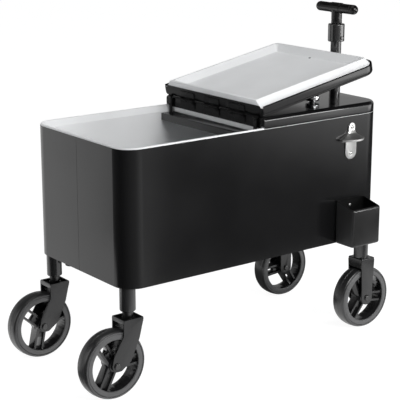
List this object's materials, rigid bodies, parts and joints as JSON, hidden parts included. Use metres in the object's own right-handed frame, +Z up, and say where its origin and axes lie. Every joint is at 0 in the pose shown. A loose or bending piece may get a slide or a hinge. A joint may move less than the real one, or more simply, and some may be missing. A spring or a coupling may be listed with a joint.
{
  "type": "rolling patio cooler",
  "caption": "Insulated steel cooler on casters with back-to-back hinged lids, a pull-up handle, a bottle opener, a cap catcher and a drain",
  "frame": {"origin": "floor point under the middle of the whole cooler at rest, left lid open and handle down", "axes": "+X along the tub towards the pull handle, +Y to the plain rear side, +Z up"},
  "size_m": [0.946, 0.459, 0.8333],
  "materials": {
    "black_steel": "satin black powder coat",
    "pan_steel": "matt black coat",
    "white_plastic": "smooth white moulding",
    "foam": "rigid foam",
    "seal_rubber": "matt",
    "bar_black": "satin black coat",
    "zinc_screws": "bright zinc",
    "hinge_steel": "satin black coat",
    "leg_black": "satin black coat",
    "fork_black": "satin black",
    "wheel_black": "moulded black",
    "tyre_rubber": "matt rubber",
    "bush_nylon": "dark nylon",
    "opener_metal": "plated casting",
    "catcher_steel": "satin black coat",
    "post_black": "satin black coat",
    "collar_black": "satin moulding",
    "grip_rubber": "soft matt",
    "stem_steel": "dark",
    "dark_bolts": "blackened",
    "knob_chrome": "polished",
    "button_black": "gloss",
    "drain_plastic": "moulded black"
  },
  "bodies": {
    "tub": {"body_wrap": "black_steel", "bottom_pan": "pan_steel", "liner": "white_plastic", "insulation": "foam", "center_bar": "bar_black", "center_bar_screws": "zinc_screws", "hinge_posts": "hinge_steel", "hinge_rod": "hinge_steel", "leg_posts": "leg_black", "leg_bolts": "dark_bolts", "bottle_opener": "opener_metal", "opener_screws": "zinc_screws", "cap_catcher": "catcher_steel", "catcher_screws": "zinc_screws", "handle_post": "post_black", "handle_bracket_lower": "post_black", "handle_bracket_upper": "post_black", "bracket_screws": "zinc_screws", "lock_collar": "collar_black", "drain_spout": "drain_plastic", "drain_nut": "drain_plastic", "front_right_fork": "fork_black", "rear_right_fork": "fork_black", "front_right_axle": "dark_bolts", "rear_right_axle": "dark_bolts"},
    "handle": {"handle_stem": "stem_steel", "handle_grip": "grip_rubber"},
    "lock_button": {"lock_button": "button_black"},
    "drain_cap": {"drain_cap": "drain_plastic"},
    "right_lid": {"right_lid_shell": "black_steel", "right_lid_panel": "white_plastic", "right_lid_foam": "foam", "right_lid_seal": "seal_rubber", "right_lid_knobs": "knob_chrome", "right_hinge_leaves": "hinge_steel"},
    "left_lid": {"left_lid_shell": "black_steel", "left_lid_panel": "white_plastic", "left_lid_foam": "foam", "left_lid_seal": "seal_rubber", "left_lid_knobs": "knob_chrome", "left_hinge_leaves": "hinge_steel"},
    "front_left_caster": {"front_left_fork": "fork_black", "front_left_swivel_stem": "dark_bolts", "front_left_axle": "dark_bolts"},
    "rear_left_caster": {"rear_left_fork": "fork_black", "rear_left_swivel_stem": "dark_bolts", "rear_left_axle": "dark_bolts"},
    "front_left_wheel": {"front_left_wheel": "wheel_black", "front_left_tyre": "tyre_rubber", "front_left_bushes": "bush_nylon"},
    "rear_left_wheel": {"rear_left_wheel": "wheel_black", "rear_left_tyre": "tyre_rubber", "rear_left_bushes": "bush_nylon"},
    "front_right_wheel": {"front_right_wheel": "wheel_black", "front_right_tyre": "tyre_rubber", "front_right_bushes": "bush_nylon"},
    "rear_right_wheel": {"rear_right_wheel": "wheel_black", "rear_right_tyre": "tyre_rubber", "rear_right_bushes": "bush_nylon"}
  },
  "joints": [
    {"name": "right_lid_hinge", "type": "hinge", "parent": "tub", "child": "right_lid", "pos_m": [0.019, 0.0325, 0.6065], "axis": [0, -1, 0], "range_deg": [0, 169.2]},
    {"name": "left_lid_hinge", "type": "hinge", "parent": "right_lid", "child": "left_lid", "pos_m": [0.019, 0.0325, 0.6065], "axis": [0, 1, 0], "range_deg": [-169.2, 0]},
    {"name": "handle_slide", "type": "slide", "parent": "tub", "child": "handle", "axis": [0, 0, 1], "range_m": [0, 0.2]},
    {"name": "lock_button_press", "type": "slide", "parent": "tub", "child": "lock_button", "axis": [0, 1, 0], "range_m": [0, 0.0025], "stiffness_N_per_m": 800},
    {"name": "drain_cap_turn", "type": "hinge", "parent": "tub", "child": "drain_cap", "pos_m": [-0.317, 0.1585, 0.2385], "axis": [0, 0, 1], "range_deg": [0, 360]},
    {"name": "front_left_swivel", "type": "hinge", "parent": "tub", "child": "front_left_caster", "pos_m": [-0.344, -0.129, 0.1865], "axis": [0, 0, 1], "continuous": true},
    {"name": "rear_left_swivel", "type": "hinge", "parent": "tub", "child": "rear_left_caster", "pos_m": [-0.344, 0.194, 0.1865], "axis": [0, 0, 1], "continuous": true},
    {"name": "front_left_wheel_spin", "type": "hinge", "parent": "front_left_caster", "child": "front_left_wheel", "pos_m": [-0.391, -0.129, 0.082], "axis": [0, 1, 0], "continuous": true},
    {"name": "rear_left_wheel_spin", "type": "hinge", "parent": "rear_left_caster", "child": "rear_left_wheel", "pos_m": [-0.391, 0.194, 0.082], "axis": [0, 1, 0], "continuous": true},
    {"name": "front_right_wheel_spin", "type": "hinge", "parent": "tub", "child": "front_right_wheel", "pos_m": [0.391, -0.129, 0.082], "axis": [0, 1, 0], "continuous": true},
    {"name": "rear_right_wheel_spin", "type": "hinge", "parent": "tub", "child": "rear_right_wheel", "pos_m": [0.391, 0.194, 0.082], "axis": [0, 1, 0], "continuous": true}
  ]
}
